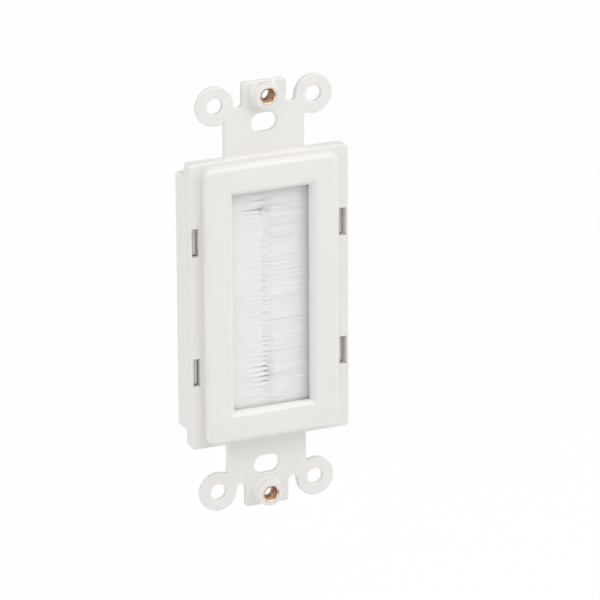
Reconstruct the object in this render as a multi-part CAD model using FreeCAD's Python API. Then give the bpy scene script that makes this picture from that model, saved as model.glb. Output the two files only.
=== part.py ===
import FreeCAD, Part
import math
import os
from FreeCAD import Vector

# Brush cable grommet for a rectangular wall-plate opening, in millimetres.
# X points right and Z up as seen from the room. Y points into the wall, and Y = 0 is the
# wall plane, on the back of the fixing strap, midway between the two box-screw slots.

# Fixing strap with its box-screw slots, plate-screw inserts and break-off ears
strap_width = 20.1
strap_thickness = 1.25
box_screw_pitch = 83.34
slot_length = 6.5
slot_height = 4.5
plate_screw_pitch = 96.84
ear_spacing_x = 24.8
ear_spacing_z = 93.6
ear_radius = 4.65
ear_hole_radius = 1.97
ear_root_radius = 0.3
strap_lap = 1.95
tab_half_width = 5.5
tab_end_z = 51.6
tab_corner_radius = 0.5
strap_edge_chamfer = 0.2

# Round boss about each plate-screw insert, flared where it leaves the strap
boss_front = -3.4
boss_root_radius = 3.65
boss_neck_radius = 3.25
boss_front_radius = 3.1
boss_flare = 0.4
boss_edge_chamfer = 0.2

# Threaded insert
insert_radius = 2.3
insert_bore_radius = 1.5
insert_mouth_radius = 1.8
insert_proud = 0.1
insert_outer_chamfer = 0.15

# Flange behind the wall plate, and the bezel that stands through the plate's opening
flange_width = 40.0
flange_height = 68.9
flange_corner_radius = 1.0
flange_front = -3.55
flange_back = -0.5
flange_edge_chamfer = 0.2
bezel_width = 33.4
bezel_height = 67.0
bezel_corner_radius = 2.0
bezel_front = -5.85
bezel_edge_radius = 1.2

# Cable window, rounded over towards the room
window_width = 19.6
window_height = 52.5
window_round_over = 1.75

# Pocket in the back of the frame that takes the two brushes
pocket_width = 30.2
pocket_height = 58.4
pocket_floor = -3.65
pocket_corner_radius = 0.4

# Side channels in the back of the flange, the snap windows that open into them, and the hooks
side_channel_inner_x = 16.4
side_channel_outer_x = 18.95
side_channel_floor = -2.0
side_channel_half_length = 29.2
snap_inner_x = 17.7
snap_outer_x = 19.45
snap_ledge_y = -1.2
snap_height = 6.8
snap_centre_z = 15.7
snap_mouth_chamfer = 0.1
hook_arm_inner_x = 17.85
hook_arm_outer_x = 18.85
hook_tip_x = 18.6
hook_barb_x = 19.2
hook_barb_land = 0.35
hook_tip_y = -1.9
hook_root_y = 0.5
hook_height = 6.4

# Rear housing
housing_width = 39.6
housing_height = 61.7
housing_back = 5.0
housing_wall = 1.5
housing_corner_radius = 0.6
housing_edge_radius = 0.4
rear_window_round_over = 0.9
rail_front = -0.65
rail_inner_x = 10.0
rail_outer_x = 15.0
rail_rib = 1.2
cross_rib_count = 5
end_rib_z = 26.5

# Strip brushes: channel, wire and bristles
brush_plane_y = -2.15
channel_mouth_x = 10.6
channel_back_x = 14.9
channel_half_depth = 1.5
channel_wall = 0.45
channel_half_length = 29.0
channel_lip = 0.25
wire_radius = 0.5
wire_x = 13.4
wire_half_length = 28.8
bristle_half_length = 28.4
tuft_count = 64
tuft_gap_root_x = 3.2
tuft_gap_scatter = 3.6
tuft_tip_share = 0.7
tuft_tip_x = 0.12
tuft_tip_scatter = 0.6
tuft_lean = 0.3
tuft_tip_wave = 2.4
tuft_gap_wave = 1.3
tuft_lean_wave = 0.35

end_margin = 1.0  # overrun of a cutting tool past the face that it cuts
close = 0.005  # two coordinates nearer than this count as one


def rounded_block(width, height, radius, y_front, y_back):
    corner = Vector(-width / 2, y_front, -height / 2)
    block = Part.makeBox(width, y_back - y_front, height, corner)
    return block.makeFillet(radius, edges_along_y(block))


def edges_along_y(shape):
    def runs_along_y(edge):
        box = edge.BoundBox
        return box.XLength < close and box.ZLength < close
    return [edge for edge in shape.Edges if runs_along_y(edge)]


def edges_in_plane(shape, y):
    def lies_in_plane(edge):
        box = edge.BoundBox
        return box.YLength < close and abs(box.YMin - y) < close
    return [edge for edge in shape.Edges if lies_in_plane(edge)]


def cylinder_along_y(x, z, radius, y_front, y_back):
    return Part.makeCylinder(radius, y_back - y_front, Vector(x, y_front, z), Vector(0, 1, 0))


def box_between(x0, x1, y0, y1, z0, z1):
    return Part.makeBox(x1 - x0, y1 - y0, z1 - z0, Vector(x0, y0, z0))


def prism_along_z(points, z0, z1):
    wire = Part.makePolygon([Vector(x, y, z0) for x, y in points + points[:1]])
    return Part.Face(wire).extrude(Vector(0, 0, z1 - z0))


def turned_along_y(points):
    wire = Part.makePolygon([Vector(radius, y, 0) for radius, y in points + points[:1]])
    return Part.Face(wire).revolve(Vector(0, 0, 0), Vector(0, 1, 0), 360)


def both_ends(shape):
    # the part is the same at both ends after half a turn about Y
    return [shape, shape.rotated(Vector(0, 0, 0), Vector(0, 1, 0), 180)]


def both_sides(shape):
    return [shape, shape.mirror(Vector(0, 0, 0), Vector(1, 0, 0))]


def round_over_profile(half_width, radius, y_face, y_far):
    # half-plane outline, in (across, Y), of a slot that flares with a quarter round at y_face
    side = 1 if y_far > y_face else -1
    y_round = y_face + side * radius
    centre = Vector(half_width + radius, y_round, 0)
    middle = centre + Vector(-radius * math.sqrt(0.5), -side * radius * math.sqrt(0.5), 0)
    wide = half_width + radius
    y_out = y_face - side * end_margin
    right = [
        Part.LineSegment(Vector(half_width, y_far, 0), Vector(half_width, y_round, 0)).toShape(),
        Part.Arc(Vector(half_width, y_round, 0), middle, Vector(wide, y_face, 0)).toShape(),
        Part.LineSegment(Vector(wide, y_face, 0), Vector(wide, y_out, 0)).toShape(),
    ]
    left = [edge.mirror(Vector(0, 0, 0), Vector(1, 0, 0)) for edge in right]
    top = Part.LineSegment(Vector(wide, y_out, 0), Vector(-wide, y_out, 0)).toShape()
    bottom = Part.LineSegment(Vector(-half_width, y_far, 0), Vector(half_width, y_far, 0)).toShape()
    return Part.Face(Part.Wire(Part.__sortEdges__(right + left + [top, bottom])))


def round_over_window(width, height, radius, y_face, y_far):
    # two flared slots crossed, so that the rounded edges meet in mitres
    reach = width + height
    upright = round_over_profile(width / 2, radius, y_face, y_far)
    upright.translate(Vector(0, 0, -reach))
    upright = upright.extrude(Vector(0, 0, 2 * reach))
    level = round_over_profile(height / 2, radius, y_face, y_far)
    level.translate(Vector(0, 0, -reach))
    level = level.extrude(Vector(0, 0, 2 * reach))
    level.rotate(Vector(0, 0, 0), Vector(0, 1, 0), 90)
    return upright.common(level)


def box_screw_slot(y_front, y_back):
    half_run = (slot_length - slot_height) / 2
    z = box_screw_pitch / 2
    radius = slot_height / 2
    middle = box_between(-half_run, half_run, y_front, y_back, z - radius, z + radius)
    ends = [cylinder_along_y(x, z, radius, y_front, y_back) for x in (-half_run, half_run)]
    return middle.multiFuse(ends)


def strap_end():
    # upper end of the strap: shank, two ears, and a tab between two round-bottomed notches
    front = -strap_thickness
    ear_x = ear_spacing_x / 2
    ear_z = ear_spacing_z / 2
    notch_radius = (ear_x - ear_radius - tab_half_width) / 2
    notch_x = tab_half_width + notch_radius
    half = strap_width / 2
    shank = box_between(-half, half, front, 0, flange_height / 2 - strap_lap, ear_z)
    tab = box_between(-tab_half_width, tab_half_width, front, 0, ear_z - ear_radius, tab_end_z)
    tab_corners = [edge for edge in edges_along_y(tab) if edge.BoundBox.ZMin > ear_z]
    tab = tab.makeFillet(tab_corner_radius, tab_corners)
    ears = [cylinder_along_y(x, ear_z, ear_radius, front, 0) for x in (-ear_x, ear_x)]
    end = shank.multiFuse([tab] + ears)
    cuts = [box_screw_slot(front - end_margin, end_margin)]
    for side in (-1, 1):
        y0, y1 = front - end_margin, end_margin
        cuts.append(cylinder_along_y(side * notch_x, ear_z, notch_radius, y0, y1))
        cuts.append(cylinder_along_y(side * ear_x, ear_z, ear_hole_radius, y0, y1))
    end = end.cut(Part.makeCompound(cuts)).removeSplitter()
    root_z = ear_z - math.sqrt(ear_radius ** 2 - (ear_x - half) ** 2)

    def joins_ear(edge):
        middle = edge.BoundBox.Center
        return abs(abs(middle.x) - half) < close and abs(middle.z - root_z) < close

    end = end.makeFillet(ear_root_radius, [edge for edge in edges_along_y(end) if joins_ear(edge)])
    outline = [edge for edge in edges_in_plane(end, front) if edge.BoundBox.ZMax > flange_height / 2]
    return end.makeChamfer(strap_edge_chamfer, outline)


def insert_boss():
    # turned outline, cut off level with the end of the tab
    root = -strap_thickness
    outline = [
        (0, root / 2),
        (boss_root_radius, root / 2),
        (boss_root_radius, root),
        (boss_neck_radius, root - boss_flare),
        (boss_front_radius, boss_front + boss_edge_chamfer),
        (boss_front_radius - boss_edge_chamfer, boss_front),
        (0, boss_front),
    ]
    boss = turned_along_y(outline)
    boss.translate(Vector(0, 0, plate_screw_pitch / 2))
    side = 2 * boss_root_radius
    end_z = tab_end_z - strap_edge_chamfer
    beyond = box_between(-side, side, boss_front - end_margin, end_margin, end_z, end_z + side)
    return boss.cut(beyond)


def side_channel():
    end = side_channel_half_length
    x0, x1 = side_channel_inner_x, side_channel_outer_x
    return box_between(x0, x1, side_channel_floor, end_margin, -end, end)


def snap_window():
    # reaches past the channel's outer wall, and so leaves a ledge there for the hook's barb
    half = snap_height / 2
    z0, z1 = snap_centre_z - half, snap_centre_z + half
    return box_between(snap_inner_x, snap_outer_x, flange_front - end_margin, snap_ledge_y, z0, z1)


def snap_hook():
    half = hook_height / 2
    outline = [
        (hook_arm_inner_x, hook_root_y),
        (hook_arm_inner_x, hook_tip_y),
        (hook_tip_x, hook_tip_y),
        (hook_barb_x, snap_ledge_y - hook_barb_land),
        (hook_barb_x, snap_ledge_y),
        (hook_arm_outer_x, snap_ledge_y),
        (hook_arm_outer_x, hook_root_y),
    ]
    return prism_along_z(outline, snap_centre_z - half, snap_centre_z + half)


def front_frame():
    # one moulding: flange, bezel, window and the fixing strap's two ends
    flange = rounded_block(flange_width, flange_height, flange_corner_radius, flange_front, flange_back)
    flange = flange.makeChamfer(flange_edge_chamfer, edges_in_plane(flange, flange_front))
    bezel = rounded_block(bezel_width, bezel_height, bezel_corner_radius, bezel_front, flange_front / 2)
    bezel = bezel.makeFillet(bezel_edge_radius, edges_in_plane(bezel, bezel_front))
    frame = flange.multiFuse([bezel] + both_ends(strap_end()) + both_ends(insert_boss()))
    pocket = rounded_block(pocket_width, pocket_height, pocket_corner_radius, pocket_floor, end_margin)
    window = round_over_window(window_width, window_height, window_round_over, bezel_front, end_margin)
    cuts = [pocket, window] + both_sides(side_channel())
    for snap in both_sides(snap_window()):
        cuts += both_ends(snap)
    bore = cylinder_along_y(0, plate_screw_pitch / 2, insert_radius, boss_front - end_margin, end_margin)
    cuts += both_ends(bore)
    frame = frame.cut(Part.makeCompound(cuts)).removeSplitter()

    def rims_snap_window(edge):
        middle = edge.BoundBox.Center
        across = snap_inner_x - close < abs(middle.x) < snap_outer_x + close
        return across and abs(abs(middle.z) - snap_centre_z) < snap_height / 2 + close

    rims = [edge for edge in edges_in_plane(frame, flange_front) if rims_snap_window(edge)]
    return frame.makeChamfer(snap_mouth_chamfer, rims)


def brush_rail():
    # two long ribs that press on the brush channel, tied by cross ribs
    back = housing_back - housing_wall
    top = housing_height / 2 - housing_wall
    end = channel_half_length
    ribs = [
        box_between(x, x + rail_rib, rail_front, back, -end, end)
        for x in (rail_inner_x, rail_outer_x - rail_rib)
    ]
    pitch = 2 * end / (cross_rib_count + 1)
    for index in range(cross_rib_count):
        z = pitch * (index + 1) - end - rail_rib / 2
        ribs.append(box_between(rail_inner_x, rail_outer_x, 0, back, z, z + rail_rib))
    for z0, z1 in ((-top, -end), (end, top)):
        ribs.append(box_between(rail_inner_x, rail_outer_x, 0, back, z0, z1))
    return ribs[0].multiFuse(ribs[1:])


def rear_housing():
    # open box that closes the frame's back, with its own cable window and four snap hooks
    shell = rounded_block(housing_width, housing_height, housing_corner_radius, flange_back, housing_back)
    shell = shell.makeFillet(housing_edge_radius, edges_in_plane(shell, housing_back))
    inner_x = housing_width / 2 - housing_wall
    inner_z = housing_height / 2 - housing_wall
    back = housing_back - housing_wall
    shell = shell.cut(box_between(-inner_x, inner_x, -end_margin, back, -inner_z, inner_z))
    end_rib = box_between(-rail_inner_x, rail_inner_x, 0, back, end_rib_z, end_rib_z + rail_rib)
    hooks = []
    for hook in both_sides(snap_hook()):
        hooks += both_ends(hook)
    housing = shell.multiFuse(both_sides(brush_rail()) + both_ends(end_rib) + hooks)
    rear_window = (2 * rail_inner_x, 2 * end_rib_z, rear_window_round_over)
    return housing.cut(round_over_window(*rear_window, housing_back, rail_front)).removeSplitter()


def brush_channel():
    # folded strip with a round back and two lips turned in at the mouth
    y_mid = brush_plane_y
    outer = channel_half_depth
    inner = channel_half_depth - channel_wall
    bend_x = channel_back_x - outer
    lip_y = inner - channel_lip

    def side(sign):
        return [
            Vector(bend_x, y_mid + sign * outer, 0),
            Vector(channel_mouth_x, y_mid + sign * outer, 0),
            Vector(channel_mouth_x, y_mid + sign * lip_y, 0),
            Vector(channel_mouth_x + channel_wall, y_mid + sign * lip_y, 0),
            Vector(channel_mouth_x + 2 * channel_wall, y_mid + sign * inner, 0),
            Vector(bend_x, y_mid + sign * inner, 0),
        ]

    edges = []
    for sign in (-1, 1):
        points = side(sign)
        edges += [Part.LineSegment(a, b).toShape() for a, b in zip(points, points[1:])]
    for reach in (outer, inner):
        ends = [Vector(bend_x, y_mid + sign * reach, 0) for sign in (-1, 1)]
        edges.append(Part.Arc(ends[0], Vector(bend_x + reach, y_mid, 0), ends[1]).toShape())
    section = Part.Face(Part.Wire(Part.__sortEdges__(edges)))
    section.translate(Vector(0, 0, -channel_half_length))
    return section.extrude(Vector(0, 0, 2 * channel_half_length))


def core_wire():
    start = Vector(wire_x, brush_plane_y, -wire_half_length)
    return Part.makeCylinder(wire_radius, 2 * wire_half_length, start)


def tuft_layer(y0, y1, stagger, phase):
    # comb outline: each tuft leans a little, and its tip stands in or out by its own amount
    pitch = 2 * bristle_half_length / tuft_count
    root_x = channel_mouth_x + 2 * channel_wall
    half_tip = pitch * tuft_tip_share / 2
    count = tuft_count - math.ceil(stagger)
    points = [Vector(root_x, y0, -bristle_half_length)]
    for index in range(count):
        z = -bristle_half_length + pitch * (index + 0.5 + stagger)
        ease = math.sin(math.pi * (index + 0.5) / count)
        lean = tuft_lean * ease * math.sin(tuft_lean_wave * index + phase)
        tip_x = tuft_tip_x + tuft_tip_scatter * (1 + math.sin(tuft_tip_wave * index + phase)) / 2
        gap_x = tuft_gap_root_x + tuft_gap_scatter * (1 + math.sin(tuft_gap_wave * index + phase)) / 2
        points.append(Vector(tip_x, y0, z + lean - half_tip))
        points.append(Vector(tip_x, y0, z + lean + half_tip))
        if index < count - 1:
            points.append(Vector(gap_x, y0, z + pitch / 2))
    points.append(Vector(root_x, y0, bristle_half_length))
    outline = Part.makePolygon(points + points[:1])
    return Part.Face(outline).extrude(Vector(0, y1 - y0, 0))


def bristles():
    # bundle folded round the wire inside the channel, and two layers of tufts beyond its lips
    neck = channel_half_depth - channel_wall - channel_lip
    neck_x = channel_mouth_x + 2 * channel_wall
    inner = channel_half_depth - channel_wall
    bend_x = channel_back_x - channel_half_depth
    y_mid = brush_plane_y
    z0, z1 = -bristle_half_length, bristle_half_length
    bundle = box_between(neck_x, bend_x, y_mid - inner, y_mid + inner, z0, z1)
    fold = Part.makeCylinder(inner, z1 - z0, Vector(bend_x, y_mid, z0))
    layers = [
        tuft_layer(y_mid - neck, y_mid, 0, 0.0),
        tuft_layer(y_mid, y_mid + neck, 0.5, 1.9),
    ]
    brush = bundle.multiFuse([fold] + layers).removeSplitter()
    hole_start = Vector(wire_x, y_mid, z0 - end_margin)
    return brush.cut(Part.makeCylinder(wire_radius, z1 - z0 + 2 * end_margin, hole_start))


def plate_insert():
    # turned bush, flush with the back of the strap and just proud of the boss
    front = boss_front - insert_proud
    mouth = insert_mouth_radius - insert_bore_radius
    outline = [
        (insert_bore_radius, front + mouth),
        (insert_mouth_radius, front),
        (insert_radius - insert_outer_chamfer, front),
        (insert_radius, front + insert_outer_chamfer),
        (insert_radius, 0),
        (insert_bore_radius, 0),
    ]
    bush = turned_along_y(outline)
    bush.translate(Vector(0, 0, plate_screw_pitch / 2))
    return bush


def build():
    parts = {"front_frame": front_frame(), "rear_housing": rear_housing()}
    parts["upper_insert"], parts["lower_insert"] = both_ends(plate_insert())
    parts["right_brush_channel"], parts["left_brush_channel"] = both_sides(brush_channel())
    parts["right_core_wire"], parts["left_core_wire"] = both_sides(core_wire())
    parts["right_bristles"], parts["left_bristles"] = both_sides(bristles())
    os.makedirs("parts", exist_ok=True)
    for name, shape in parts.items():
        shape.exportStep(f"parts/{name}.step")
        print(f"{name}: {len(shape.Solids)} solid, {shape.Volume:.1f} mm3, valid {shape.isValid()}")


build()
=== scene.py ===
import math
import bmesh
import bpy
from mathutils import Matrix, Vector


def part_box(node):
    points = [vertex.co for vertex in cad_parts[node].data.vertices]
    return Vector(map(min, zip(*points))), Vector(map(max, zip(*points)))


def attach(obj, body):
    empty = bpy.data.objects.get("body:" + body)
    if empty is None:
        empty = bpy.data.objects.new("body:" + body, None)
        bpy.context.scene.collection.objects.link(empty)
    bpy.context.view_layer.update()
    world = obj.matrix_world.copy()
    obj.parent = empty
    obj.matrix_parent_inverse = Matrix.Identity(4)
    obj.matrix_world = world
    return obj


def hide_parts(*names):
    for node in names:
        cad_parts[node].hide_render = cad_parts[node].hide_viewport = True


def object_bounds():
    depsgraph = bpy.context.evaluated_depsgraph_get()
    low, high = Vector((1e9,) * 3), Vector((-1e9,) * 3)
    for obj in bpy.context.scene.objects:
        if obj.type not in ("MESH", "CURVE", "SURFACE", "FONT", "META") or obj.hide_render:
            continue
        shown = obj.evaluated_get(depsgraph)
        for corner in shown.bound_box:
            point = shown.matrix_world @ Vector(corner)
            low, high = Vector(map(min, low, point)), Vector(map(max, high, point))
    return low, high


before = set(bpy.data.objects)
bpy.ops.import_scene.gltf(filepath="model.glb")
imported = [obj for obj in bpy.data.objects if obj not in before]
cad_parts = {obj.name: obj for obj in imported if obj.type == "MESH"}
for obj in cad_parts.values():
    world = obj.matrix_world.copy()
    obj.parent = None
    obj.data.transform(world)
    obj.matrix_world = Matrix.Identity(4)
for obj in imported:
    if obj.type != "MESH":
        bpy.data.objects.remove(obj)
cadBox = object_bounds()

scene = bpy.context.scene
mm = 0.001


# a node socket with the maths that the finishes and the bristles need
class Value:
    def __init__(self, tree, socket):
        self.tree = tree
        self.socket = socket

    def maths(self, operation, first, second):
        node = self.tree.nodes.new("ShaderNodeMath")
        node.operation = operation
        for slot, given in zip(node.inputs, (first, second)):
            plug(self.tree, slot, given)
        return Value(self.tree, node.outputs[0])

    def __add__(self, other):
        return self.maths("ADD", self, other)

    def __radd__(self, other):
        return self.maths("ADD", other, self)

    def __sub__(self, other):
        return self.maths("SUBTRACT", self, other)

    def __rsub__(self, other):
        return self.maths("SUBTRACT", other, self)

    def __mul__(self, other):
        return self.maths("MULTIPLY", self, other)

    def __rmul__(self, other):
        return self.maths("MULTIPLY", other, self)

    def __truediv__(self, other):
        return self.maths("DIVIDE", self, other)

    def __rtruediv__(self, other):
        return self.maths("DIVIDE", other, self)

    def __pow__(self, other):
        return self.maths("POWER", self, other)

    def __rpow__(self, other):
        return self.maths("POWER", other, self)

    def __mod__(self, other):
        return self.maths("MODULO", self, other)

    def __rmod__(self, other):
        return self.maths("MODULO", other, self)


def plug(tree, slot, given):
    if isinstance(given, Value):
        tree.links.new(given.socket, slot)
    else:
        slot.default_value = given


# a node tree, of a finish or of a shape, that nodes are added to by type
class Tree:
    def __init__(self, tree):
        self.tree = tree

    def add(self, kind, settings, sockets, out=0):
        node = self.tree.nodes.new(kind)
        for name, given in settings.items():
            setattr(node, name, given)
        for key, given in sockets.items():
            plug(self.tree, node.inputs[key], given)
        return Value(self.tree, node.outputs[out]) if len(node.outputs) else None

    def maths(self, operation, *given):
        return self.add("ShaderNodeMath", {"operation": operation}, dict(enumerate(given)))

    def mixColour(self, share, first, second):
        settings = {"data_type": "RGBA", "blend_type": "MIX"}
        return self.add("ShaderNodeMix", settings, {0: share, 6: first, 7: second}, 2)

    def objectPlace(self):
        return self.add("ShaderNodeTexCoord", {}, {}, "Object")

    # 0 up to low, 1 from high on
    def rise(self, value, low, high):
        sockets = {"Value": value, "From Min": low, "From Max": high}
        return self.add("ShaderNodeMapRange", {"clamp": True}, sockets)

    def noise(self, place, scale, detail):
        return self.add("ShaderNodeTexNoise", {}, {"Vector": place, "Scale": scale, "Detail": detail})

    def bump(self, height, distance, strength):
        sockets = {"Strength": strength, "Distance": distance, "Height": height}
        return self.add("ShaderNodeBump", {}, sockets)


def opaque(colour):
    return (*colour, 1)


def newFinish(name):
    material = bpy.data.materials.new(name)
    material.use_nodes = True
    material.node_tree.nodes.clear()
    return material, Tree(material.node_tree)


def closeFinish(tree, shader):
    tree.add("ShaderNodeOutputMaterial", {}, {"Surface": shader})


# plastic of the frame and housing: satin, with a faint cloud in its colour and a fine moulded grain
plasticLook = {
    "colour": (0.80, 0.784, 0.762),
    "deepColour": (0.772, 0.755, 0.733),
    "cloudPerMetre": 90,
    "cloudDetail": 3.0,
    "grainPerMetre": 5200,
    "grainDetail": 2.0,
    "grainHeight": 0.012 * mm,
    "grainStrength": 0.35,
    "roughness": 0.42,
    "roughnessSpread": 0.1,
    "refraction": 1.5,
}


def plasticFinish(name, look):
    material, tree = newFinish(name)
    place = tree.objectPlace()
    cloud = tree.noise(place, look["cloudPerMetre"], look["cloudDetail"])
    grain = tree.noise(place, look["grainPerMetre"], look["grainDetail"])
    sockets = {
        "Base Color": tree.mixColour(cloud, opaque(look["colour"]), opaque(look["deepColour"])),
        "Roughness": look["roughness"] + (grain - 0.5) * look["roughnessSpread"],
        "Normal": tree.bump(grain, look["grainHeight"], look["grainStrength"]),
        "IOR": look["refraction"],
    }
    closeFinish(tree, tree.add("ShaderNodeBsdfPrincipled", {}, sockets))
    return material


# brass of the inserts: turned rings, a little tarnish, painted shade in the bore and thread valleys,
# and plastic lapped over the rim
brassLook = {
    "colour": (0.77, 0.6, 0.45),
    "tarnish": (0.34, 0.17, 0.09),
    # colour of the painted shade in the bore
    "boreShadeColour": (0.2, 0.09, 0.05),
    "rimColour": (0.8, 0.77, 0.735),
    "edgeColour": (1.0, 0.74, 0.54),  # of what it reflects at a low angle
    "crestRadius": 1.28 * mm,
    "boreRadius": 1.5 * mm,
    "mouthRadius": 1.75 * mm,
    "lapRadius": 1.88 * mm,
    "rimRadius": 2.2 * mm,
    "ringPerMetre": 4200,
    "ringHeight": 0.01 * mm,
    "ringStrength": 0.4,
    "ringRoughness": 0.04,
    "spotPerMetre": 1300.0,
    "spotDetail": 4.0,
    "tarnishFrom": 0.46,
    "tarnishTo": 0.62,
    "tarnishShare": 0.7,
    "tarnishRoughness": 0.15,
    "roughness": 0.3,
}


def brassFinish(name, look, centre):
    material, tree = newFinish(name)
    sockets = {"Vector": tree.objectPlace(), "Location": [-c for c in centre]}
    centred = tree.add("ShaderNodeMapping", {}, sockets)
    flat = tree.add("ShaderNodeVectorMath", {"operation": "MULTIPLY"}, {0: centred, 1: (1, 0, 1)})
    radius = tree.add("ShaderNodeVectorMath", {"operation": "LENGTH"}, {0: flat}, "Value")
    rings = tree.maths("SINE", radius * (look["ringPerMetre"] * math.tau))
    spots = tree.noise(centred, look["spotPerMetre"], look["spotDetail"])
    tarnish = tree.rise(spots, look["tarnishFrom"], look["tarnishTo"]) * look["tarnishShare"]
    # painted shade: dark in the thread valleys and the bore, none at the crests and none beyond the
    # mouth
    valleyShade = tree.rise(radius, look["crestRadius"], look["boreRadius"])
    mouth = tree.rise(radius, look["boreRadius"], look["mouthRadius"])
    rim = tree.rise(radius, look["lapRadius"], look["rimRadius"])
    colour = tree.mixColour(tarnish, opaque(look["colour"]), opaque(look["tarnish"]))
    colour = tree.mixColour((1 - mouth) * valleyShade, colour, opaque(look["boreShadeColour"]))
    roughness = look["roughness"] + spots * look["tarnishRoughness"]
    sockets = {
        "Base Color": tree.mixColour(rim, colour, opaque(look["rimColour"])),
        "Metallic": 1 - rim,
        "Roughness": roughness + rings * look["ringRoughness"],
        "Normal": tree.bump(rings, look["ringHeight"], look["ringStrength"]),
        "Specular Tint": opaque(look["edgeColour"]),
    }
    closeFinish(tree, tree.add("ShaderNodeBsdfPrincipled", {}, sockets))
    return material


# bare metal of the folded channels and the core wires, drawn along Z
metalLook = {
    "channel": {"colour": (0.78, 0.78, 0.79), "roughness": 0.34},
    "wire": {"colour": (0.6, 0.6, 0.61), "roughness": 0.28},
    "linesPerMetre": (6000, 6000, 120),
    "lineDetail": 3.0,
    "lineHeight": 0.01 * mm,
    "lineStrength": 0.3,
    "lineDarkness": 0.8,
    "roughnessSpread": 0.15,
}


def metalFinish(name, look, kind):
    material, tree = newFinish(name)
    sockets = {"Vector": tree.objectPlace(), "Scale": look["linesPerMetre"]}
    drawn = tree.add("ShaderNodeMapping", {}, sockets)
    lines = tree.noise(drawn, 1.0, look["lineDetail"])
    bright = look[kind]["colour"]
    dark = [look["lineDarkness"] * c for c in bright]
    sockets = {
        "Base Color": tree.mixColour(lines, opaque(bright), opaque(dark)),
        "Metallic": 1.0,
        "Roughness": look[kind]["roughness"] + lines * look["roughnessSpread"],
        "Normal": tree.bump(lines, look["lineHeight"], look["lineStrength"]),
    }
    closeFinish(tree, tree.add("ShaderNodeBsdfPrincipled", {}, sockets))
    return material


# nylon of the bristles: each filament has its own tint, and painted shade darkens the rows towards
# their roots, lilac on the right row
nylonLook = {
    "colour": (0.9, 0.9, 0.885),
    "otherColour": (0.88, 0.88, 0.87),
    # colours of the painted shade at the roots of each row
    "shadedRoots": {"left": (0.88, 0.88, 0.865), "right": (0.82, 0.81, 0.9)},
    "rootShadeShare": 0.6,
    "rootShadeFade": 1.5,
    "roughness": 0.34,
    "roughnessSpread": 0.12,
    "refraction": 1.53,
}


def nylonFinish(name, look, root):
    material, tree = newFinish(name)
    tint = tree.add("ShaderNodeAttribute", {"attribute_name": "tint"}, {}, "Fac")
    along = tree.add("ShaderNodeAttribute", {"attribute_name": "along"}, {}, "Fac")
    body = tree.mixColour(tint, opaque(look["colour"]), opaque(look["otherColour"]))
    # painted shade: the root colour is mixed in more towards each filament's root
    shadeNearRoot = (1 - along) ** look["rootShadeFade"] * look["rootShadeShare"]
    sockets = {
        "Base Color": tree.mixColour(shadeNearRoot, body, opaque(root)),
        "Roughness": look["roughness"] + tint * look["roughnessSpread"],
        "IOR": look["refraction"],
    }
    closeFinish(tree, tree.add("ShaderNodeBsdfPrincipled", {}, sockets))
    return material


insertCentres = {}
for node in ("upper_insert", "lower_insert"):
    low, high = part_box(node)
    insertCentres[node] = (low + high) / 2

framePlastic = plasticFinish("framePlastic", plasticLook)
housingPlastic = plasticFinish("housingPlastic", plasticLook)
bristleNylon = {}
# each row gets its own painted root shade colour
for side, root in nylonLook["shadedRoots"].items():
    bristleNylon[side] = nylonFinish(side + "Nylon", nylonLook, root)
channelMetal = metalFinish("channelMetal", metalLook, "channel")
wireMetal = metalFinish("wireMetal", metalLook, "wire")
insertBrass = {}
for node, centre in insertCentres.items():
    insertBrass[node] = brassFinish(node + "Brass", brassLook, centre)
print("finishes made:", len(bpy.data.materials))


def linkPiece(name, mesh, material, slotName, *nodes):
    piece = bpy.data.objects.new(name, mesh)
    scene.collection.objects.link(piece)
    mesh.materials.clear()
    mesh.materials.append(material)
    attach(piece, "root")
    if nodes:
        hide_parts(*nodes)
    return piece


# a moulded or turned node: its triangles are joined, and curved faces are smooth up to a sharp edge
shellLook = {"joinDistance": 0.0005 * mm, "sharpAngle": math.radians(32), "areaWeight": 100}


def smoothShell(name, node, material, slotName):
    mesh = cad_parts[node].data.copy()
    mesh.name = name
    work = bmesh.new()
    work.from_mesh(mesh)
    bmesh.ops.remove_doubles(work, verts=work.verts, dist=shellLook["joinDistance"])
    for face in work.faces:
        face.smooth = True
    for edge in work.edges:
        edge.smooth = edge.calc_face_angle(math.pi) < shellLook["sharpAngle"]
    work.to_mesh(mesh)
    work.free()
    piece = linkPiece(name, mesh, material, slotName, node)
    weighted = piece.modifiers.new("evenShading", "WEIGHTED_NORMAL")
    weighted.keep_sharp = True
    weighted.weight = shellLook["areaWeight"]
    print(name, "from", node, len(mesh.polygons), "faces")


smoothShell("frontFrame", "front_frame", framePlastic, "frame_plastic")
smoothShell("rearHousing", "rear_housing", housingPlastic, "housing_plastic")
smoothShell("upperInsert", "upper_insert", insertBrass["upper_insert"], "insert_brass")
smoothShell("lowerInsert", "lower_insert", insertBrass["lower_insert"], "insert_brass")
for side in ("left", "right"):
    for node, material in ((side + "_brush_channel", channelMetal), (side + "_core_wire", wireMetal)):
        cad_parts[node].data.materials.clear()
        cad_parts[node].data.materials.append(material)
print("channels and wires dressed")


# a Geometry Nodes tree with named inputs, run once on an empty mesh and kept as a plain mesh
def shapeTree(name, inputs):
    group = bpy.data.node_groups.new(name, "GeometryNodeTree")
    group.interface.new_socket("Geometry", in_out="INPUT", socket_type="NodeSocketGeometry")
    group.interface.new_socket("Geometry", in_out="OUTPUT", socket_type="NodeSocketGeometry")
    for label, kind in inputs.items():
        group.interface.new_socket(label, in_out="INPUT", socket_type="NodeSocket" + kind)
    entry = group.nodes.new("NodeGroupInput")
    return group, Tree(group), {label: Value(group, entry.outputs[label]) for label in inputs}


def closeShape(tree, shape, material):
    real = tree.add("GeometryNodeRealizeInstances", {}, {0: shape})
    done = tree.add("GeometryNodeSetMaterial", {}, {"Geometry": real, "Material": material})
    tree.add("NodeGroupOutput", {}, {0: done})


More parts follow.
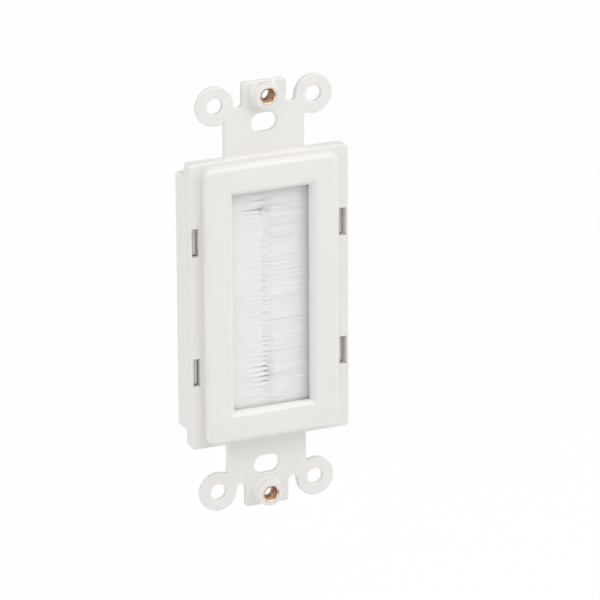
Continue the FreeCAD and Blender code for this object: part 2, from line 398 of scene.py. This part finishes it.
def growMesh(name, group, given):
    base = bpy.data.objects.new(name + "Base", bpy.data.meshes.new(name + "Base"))
    scene.collection.objects.link(base)
    modifier = base.modifiers.new("grow", "NODES")
    modifier.node_group = group
    for item in group.interface.items_tree:
        if item.in_out == "INPUT" and item.name in given:
            modifier[item.identifier] = given[item.name]
    base.update_tag()
    ready = base.evaluated_get(bpy.context.evaluated_depsgraph_get())
    mesh = bpy.data.meshes.new_from_object(ready)
    base.modifiers.remove(modifier)
    bpy.data.objects.remove(base)
    return mesh


# rows of bristles: filaments in layers, gathered in tufts, parted in a few places and slack in one
bristleLook = {
    "both": {
        "Plane Y": -2.15 * mm, "Half Depth": 0.68 * mm, "Radius": 0.08 * mm,
        "Layers": 7, "Per Layer": 430,
        "Stray Lean": 0.04 * mm, "Gather": 0.04, "Parting Width": 1.2 * mm,
    },
    "left": {
        "Root X": -12.6 * mm, "Tip X": 0.3 * mm, "Tip Scatter": 1.0 * mm,
        "Low Z": -26.7 * mm, "High Z": 28.3 * mm, "Tuft Lean": 0.05 * mm, "Unevenness": 0.12,
        "Parting A": 21.4 * mm, "Spread A": 0.65 * mm,
        "Parting B": 23.6 * mm, "Spread B": 0.22 * mm,
        "Parting C": 1.8 * mm, "Spread C": 0.18 * mm,
        "Slack Z": -18.3 * mm, "Slack Width": 3.2 * mm, "Slack": 0.4 * mm, "Slack Gather": 0.36,
        "Turn": math.pi / 2, "Seed": 4,
    },
    "right": {
        "Root X": 12.6 * mm, "Tip X": -1.8 * mm, "Tip Scatter": 0.8 * mm,
        "Low Z": -28.3 * mm, "High Z": 28.3 * mm, "Tuft Lean": 0.26 * mm, "Unevenness": 0.26,
        "Parting A": 24.0 * mm, "Spread A": 0.05 * mm,
        "Parting B": -6.0 * mm, "Spread B": 0.05 * mm,
        "Parting C": -15.0 * mm, "Spread C": 0.05 * mm,
        "Slack Z": -18.3 * mm, "Slack Width": 3.0 * mm, "Slack": 0.9 * mm, "Slack Gather": 0.05,
        "Turn": -math.pi / 2, "Seed": 11,
    },
    "sides": 5,
    "lengthSteps": 5,
    "frontShare": 0.4,  # of the layers, which part and hang slack
    "tuftPerMetre": 830.0,
    "tuftWander": 0.4,
    "leanPerMetre": 420.0,
    "leanShare": 0.5,
    "wanderPerMetre": 110.0,
    "wanderShare": 0.9,
    "layerStagger": 0.5,
    "leanCurve": 1.7,  # powers that shape how a filament bends and how far a change spreads
    "flickCurve": 5,
    "scatterCurve": 2,
    "bellCurve": 4,
    "waveDetail": 1.0,
    "waveSeedStep": 7.3,
    "waves": {"lean": 0, "wander": 40, "tuft": 80},  # where each wave starts
    "draws": {"place": 1, "depth": 2, "stray": 3, "length": 4, "tint": 6},  # seed of each draw
}


def bristleTree(look):
    whole = ("Layers", "Per Layer", "Seed")
    labels = (*look["both"], *look["left"])
    inputs = {label: "Int" if label in whole else "Float" for label in labels}
    inputs["Material"] = "Material"
    group, tree, sizes = shapeTree("bristleRow", inputs)
    onPoints = {"data_type": "FLOAT", "domain": "POINT"}

    def chance(draw, low, high):
        sockets = {2: low, 3: high, "ID": index, "Seed": sizes["Seed"] + look["draws"][draw]}
        return tree.add("FunctionNodeRandomValue", {"data_type": "FLOAT"}, sockets, 1)

    def wave(name, perMetre):
        shift = z * perMetre + sizes["Seed"] * look["waveSeedStep"] + look["waves"][name]
        sockets = {"W": shift, "Scale": 1.0, "Detail": look["waveDetail"]}
        noise = tree.add("ShaderNodeTexNoise", {"noise_dimensions": "1D"}, sockets)
        return (noise - 0.5) * 2

    def bell(middle, width):
        return 1 / (1 + ((z - middle) / width) ** look["bellCurve"])

    def store(shape, label, given):
        sockets = {0: shape, "Name": label, "Value": given}
        return tree.add("GeometryNodeStoreNamedAttribute", onPoints, sockets)

    def stored(label):
        return tree.add("GeometryNodeInputNamedAttribute", {"data_type": "FLOAT"}, {"Name": label})

    # roots: layer by layer in depth, step by step in height
    index = tree.add("GeometryNodeInputIndex", {}, {})
    layer = index % sizes["Layers"]
    front = tree.maths("LESS_THAN", layer, sizes["Layers"] * look["frontShare"])
    step = tree.maths("FLOOR", index / sizes["Layers"]) + (layer % 2) * look["layerStagger"]
    step = step + chance("place", -1, 1) * sizes["Unevenness"]
    z = sizes["Low Z"] + (sizes["High Z"] - sizes["Low Z"]) * step / sizes["Per Layer"]
    depth = (layer + 0.5 + chance("depth", -1, 1) * sizes["Unevenness"]) / sizes["Layers"]
    y = sizes["Plane Y"] + sizes["Half Depth"] * (depth * 2 - 1)
    root = tree.add("ShaderNodeCombineXYZ", {}, {"X": sizes["Root X"], "Y": y, "Z": z})
    sockets = {"Count": sizes["Layers"] * sizes["Per Layer"], "Position": root}
    points = tree.add("GeometryNodePoints", {}, sockets)

    # how each filament leans, flicks at its tip and falls short
    lean = wave("lean", look["leanPerMetre"]) * look["leanShare"]
    lean = lean + wave("wander", look["wanderPerMetre"]) * look["wanderShare"]
    lean = lean * sizes["Tuft Lean"] + chance("stray", -1, 1) * sizes["Stray Lean"]
    slack = bell(sizes["Slack Z"], sizes["Slack Width"]) * front
    tuft = z * look["tuftPerMetre"] + wave("tuft", look["wanderPerMetre"]) * look["tuftWander"]
    gather = sizes["Gather"] + sizes["Slack Gather"] * slack
    flick = (0.5 - tree.maths("FRACT", tuft)) * gather / look["tuftPerMetre"]
    for letter in "ABC":
        middle = sizes["Parting " + letter]
        spread = sizes["Spread " + letter] * bell(middle, sizes["Parting Width"])
        flick = flick + tree.maths("SIGN", z - middle) * spread * front
    short = chance("length", 0, 1) ** look["scatterCurve"] * sizes["Tip Scatter"]
    short = short + sizes["Slack"] * slack
    kept = {"lean": lean, "flick": flick, "short": short, "tint": chance("tint", 0, 1)}
    for label, given in kept.items():
        points = store(points, label, given)

    # one rod, 1 m long and marked along its length, laid across and put on every root
    sockets = {"Vertices": look["sides"], "Side Segments": look["lengthSteps"]}
    sockets.update({"Radius": sizes["Radius"], "Depth": 1.0})
    rod = tree.add("GeometryNodeMeshCylinder", {}, sockets)
    rod = tree.add("GeometryNodeTransform", {}, {"Geometry": rod, "Translation": (0, 0, 0.5)})
    place = tree.add("GeometryNodeInputPosition", {}, {})
    rod = store(rod, "along", tree.add("ShaderNodeSeparateXYZ", {}, {0: place}, "Z"))
    turn = tree.add("ShaderNodeCombineXYZ", {}, {"Y": sizes["Turn"]})
    rod = tree.add("GeometryNodeTransform", {}, {"Geometry": rod, "Rotation": turn})
    rods = tree.add("GeometryNodeInstanceOnPoints", {}, {"Points": points, "Instance": rod})
    rods = tree.add("GeometryNodeRealizeInstances", {}, {0: rods})

    # each rod drawn to its own length and bent
    along = stored("along")
    reach = sizes["Tip X"] - sizes["Root X"]
    reach = reach + tree.maths("SIGN", sizes["Root X"]) * stored("short")
    hereY, hereZ = [tree.add("ShaderNodeSeparateXYZ", {}, {0: place}, axis) for axis in "YZ"]
    bentZ = hereZ + stored("lean") * along ** look["leanCurve"]
    bentZ = bentZ + stored("flick") * along ** look["flickCurve"]
    sockets = {"X": sizes["Root X"] + reach * along, "Y": hereY, "Z": bentZ}
    bent = tree.add("ShaderNodeCombineXYZ", {}, sockets)
    rods = tree.add("GeometryNodeSetPosition", {}, {"Geometry": rods, "Position": bent})
    rods = tree.add("GeometryNodeSetShadeSmooth", {}, {0: rods})
    closeShape(tree, rods, sizes["Material"])
    return group


bristleGroup = bristleTree(bristleLook)
for side in ("left", "right"):
    name = side + "Bristles"
    nylon = bristleNylon[side]
    given = {**bristleLook["both"], **bristleLook[side], "Material": nylon}
    mesh = growMesh(name, bristleGroup, given)
    linkPiece(name, mesh, nylon, "bristle_nylon", side + "_bristles")
    print(side, "bristles:", len(mesh.polygons), "faces")


# screw thread in each insert: a three-sided ridge on a spiral
threadLook = {
    "sizes": {"Bore Radius": 1.52 * mm, "Ridge": 0.27 * mm, "Pitch": 0.79 * mm, "Length": 2.7 * mm},
    "turnSteps": 28,
    "ridgeSides": 3,
    "setBack": 0.1 * mm,
}


def threadTree(look):
    inputs = {label: "Float" for label in look["sizes"]}
    inputs["Centre"] = "Vector"
    inputs["Material"] = "Material"
    group, tree, sizes = shapeTree("threadRidge", inputs)
    turns = sizes["Length"] / sizes["Pitch"]
    sockets = {"Resolution": look["turnSteps"], "Rotations": turns, "Height": sizes["Length"]}
    sockets.update({"Start Radius": sizes["Bore Radius"], "End Radius": sizes["Bore Radius"]})
    spiral = tree.add("GeometryNodeCurveSpiral", {}, sockets)
    sockets = {"Resolution": look["ridgeSides"], "Radius": sizes["Ridge"]}
    profile = tree.add("GeometryNodeCurvePrimitiveCircle", {}, sockets)
    ridge = tree.add("GeometryNodeCurveToMesh", {}, {0: spiral, 1: profile, "Fill Caps": True})
    intoWall = (math.pi / 2, 0, 0)
    sockets = {"Geometry": ridge, "Rotation": intoWall, "Translation": sizes["Centre"]}
    closeShape(tree, tree.add("GeometryNodeTransform", {}, sockets), sizes["Material"])
    return group


threadGroup = threadTree(threadLook)
for node, centre in insertCentres.items():
    name = node.split("_")[0] + "Thread"
    brass = insertBrass[node]
    startY = centre.y + threadLook["sizes"]["Length"] / 2 + threadLook["setBack"]
    given = {**threadLook["sizes"], "Centre": (centre.x, startY, centre.z), "Material": brass}
    mesh = growMesh(name, threadGroup, given)
    linkPiece(name, mesh, brass, "insert_brass")
    print(name, len(mesh.polygons), "faces")


# 1 where the camera sees a surface itself, in a mirror or through glass
def seenDirectly(tree):
    kinds = ("Camera", "Glossy", "Transmission")
    camera, glossy, through = [
        tree.add("ShaderNodeLightPath", {}, {}, "Is %s Ray" % kind) for kind in kinds
    ]
    return tree.maths("MINIMUM", camera + glossy + through, 1.0)


# floor below the part, white to the eye, that still takes a soft shadow
floorLook = {
    "colour": (0.95, 0.95, 0.95),
    "fibrePerMetre": 40.0,
    "fibreDetail": 2.0,
    "fibreDarkness": 0.985,
    "glow": 0.96,
    "drop": 40 * mm,
    "half": 6.0,
}


def floorFinish(look):
    material, tree = newFinish("floorPaper")
    fibre = tree.noise(tree.objectPlace(), look["fibrePerMetre"], look["fibreDetail"])
    dim = [look["fibreDarkness"] * c for c in look["colour"]]
    colour = tree.mixColour(fibre, opaque(look["colour"]), opaque(dim))
    paper = tree.add("ShaderNodeBsdfDiffuse", {}, {"Color": colour})
    glow = tree.add("ShaderNodeEmission", {}, {"Color": (1, 1, 1, 1), "Strength": 1.0})
    share = seenDirectly(tree) * look["glow"]
    closeFinish(tree, tree.add("ShaderNodeMixShader", {}, {0: share, 1: paper, 2: glow}))
    return material


def layFloor(look):
    half = look["half"]
    height = cadBox[0].z - look["drop"]
    corners = [(x * half, y * half, height) for x, y in ((-1, -1), (1, -1), (1, 1), (-1, 1))]
    mesh = bpy.data.meshes.new("studioFloor")
    mesh.from_pydata(corners, [], [(0, 1, 2, 3)])
    mesh.materials.append(floorFinish(look))
    floor = bpy.data.objects.new("studioFloor", mesh)
    scene.collection.objects.link(floor)


layFloor(floorLook)
print("floor laid")


# soft studio light: a white room, softboxes on the right, overhead, front left and left,
# and a low one behind that leaves the top edges dark enough to show
studioLight = {
    "room": 0.3,
    "softboxes": {
        "rightKey": {"power": 8.2, "size": 1.0, "place": (1.04, -0.73, 0.59)},
        "overhead": {"power": 4.3, "size": 0.78, "place": (0.065, -0.325, 0.845)},
        "frontFill": {"power": 2.9, "size": 1.0, "place": (-0.95, -1.0, 0.2)},
        "leftFill": {"power": 9.2, "size": 1.0, "place": (-1.4, -0.1, 0.1)},
        "backFill": {"power": 9.0, "size": 0.3, "place": (0.0, 1.5, 0.05)},
    },
}


def lightRoom(strength):
    world = bpy.data.worlds.new("whiteRoom")
    world.use_nodes = True
    world.node_tree.nodes.clear()
    tree = Tree(world.node_tree)
    level = strength + seenDirectly(tree) * (1 - strength)
    light = tree.add("ShaderNodeBackground", {}, {"Color": (1, 1, 1, 1), "Strength": level})
    tree.add("ShaderNodeOutputWorld", {}, {"Surface": light})
    scene.world = world


def hangSoftbox(name, look):
    lamp = bpy.data.lights.new(name, "AREA")
    lamp.shape = "SQUARE"
    lamp.size = look["size"]
    lamp.energy = look["power"]
    softbox = bpy.data.objects.new(name, lamp)
    softbox.location = look["place"]
    softbox.rotation_mode = "QUATERNION"
    softbox.rotation_quaternion = Vector(look["place"]).to_track_quat("Z", "Y")
    scene.collection.objects.link(softbox)


lightRoom(studioLight["room"])
for name, look in studioLight["softboxes"].items():
    hangSoftbox(name, look)
print("softboxes hung:", len(studioLight["softboxes"]))


# camera where the photograph was taken from: a long lens, to the left and a little above
cameraView = {
    "lens": 327.78,
    "sensorWidth": 36,
    "clip": (0.05, 50),
    "azimuth": math.radians(-24.723),
    "elevation": math.radians(18.895),
    "roll": math.radians(-0.329),
    "aim": Vector((9.227, 0, -3.093)) * mm,
    "distance": 1266.96 * mm,
}


def placeCamera(look):
    data = bpy.data.cameras.new("productCamera")
    data.lens = look["lens"]
    data.sensor_width = look["sensorWidth"]
    data.clip_start, data.clip_end = look["clip"]
    camera = bpy.data.objects.new("productCamera", data)
    az, el = look["azimuth"], look["elevation"]
    back = Vector((math.sin(az) * math.cos(el), -math.cos(az) * math.cos(el), math.sin(el)))
    facing = (-back).to_track_quat("-Z", "Y").to_matrix().to_4x4()
    stand = Matrix.Translation(look["aim"] + back * look["distance"])
    camera.matrix_world = stand @ facing @ Matrix.Rotation(look["roll"], 4, "Z")
    scene.collection.objects.link(camera)
    scene.camera = camera


placeCamera(cameraView)
scene.view_settings.view_transform = "Standard"
print("camera placed")
